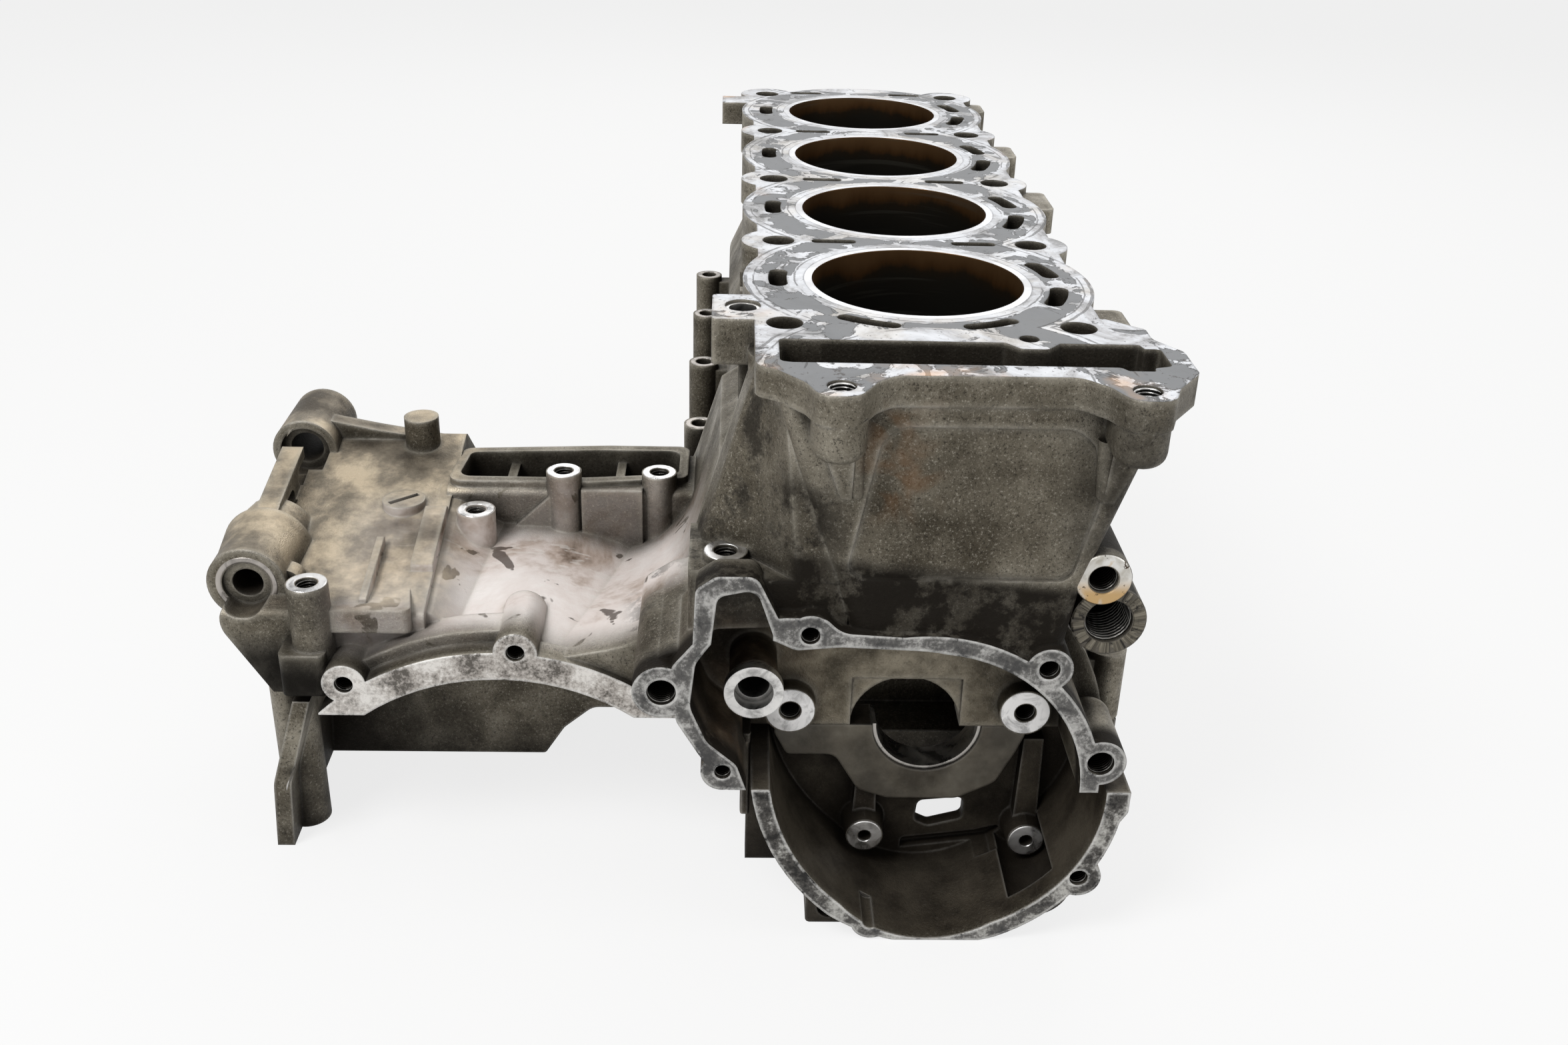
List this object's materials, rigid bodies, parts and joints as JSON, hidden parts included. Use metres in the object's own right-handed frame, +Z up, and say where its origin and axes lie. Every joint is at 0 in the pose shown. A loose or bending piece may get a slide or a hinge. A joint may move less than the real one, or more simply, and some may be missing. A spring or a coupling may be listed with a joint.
{
  "type": "engine block",
  "caption": "Inline engine block with chain tunnel, crank cover pocket and clutch and gearbox housing at one side, split at the crank plane.",
  "frame": {"origin": "on the crankshaft axis, in the plane of the crank cover face at the chain end", "axes": "+X away from the gearbox, +Y along the crankshaft from the chain end to the far end, +Z up the cylinders to the deck"},
  "size_m": [0.363, 0.4829, 0.2335],
  "materials": {
    "upper_case": "sand-cast, with machined faces, oily and stained",
    "lower_case": "sand-cast, with machined faces, oily and stained",
    "cylinder_liner_1": "honed bore, machined top",
    "cylinder_liner_2": "honed bore, machined top",
    "cylinder_liner_3": "honed bore, machined top",
    "cylinder_liner_4": "honed bore, machined top",
    "main_bearing_shell_1": "plain bearing shell",
    "main_bearing_shell_2": "plain bearing shell",
    "main_bearing_shell_3": "plain bearing shell",
    "main_bearing_shell_4": "plain bearing shell",
    "main_bearing_shell_5": "plain bearing shell",
    "idler_sleeve": "turned",
    "deck_dowel": "bright",
    "wire_thread_inserts": "bright"
  },
  "bodies": {
    "root": {"upper_case": "upper_case", "lower_case": "lower_case", "cylinder_liner_1": "cylinder_liner_1", "cylinder_liner_2": "cylinder_liner_2", "cylinder_liner_3": "cylinder_liner_3", "cylinder_liner_4": "cylinder_liner_4", "main_bearing_shell_1": "main_bearing_shell_1", "main_bearing_shell_2": "main_bearing_shell_2", "main_bearing_shell_3": "main_bearing_shell_3", "main_bearing_shell_4": "main_bearing_shell_4", "main_bearing_shell_5": "main_bearing_shell_5", "idler_sleeve": "idler_sleeve", "deck_dowel": "deck_dowel", "wire_thread_inserts": "wire_thread_inserts"}
  },
  "joints": []
}
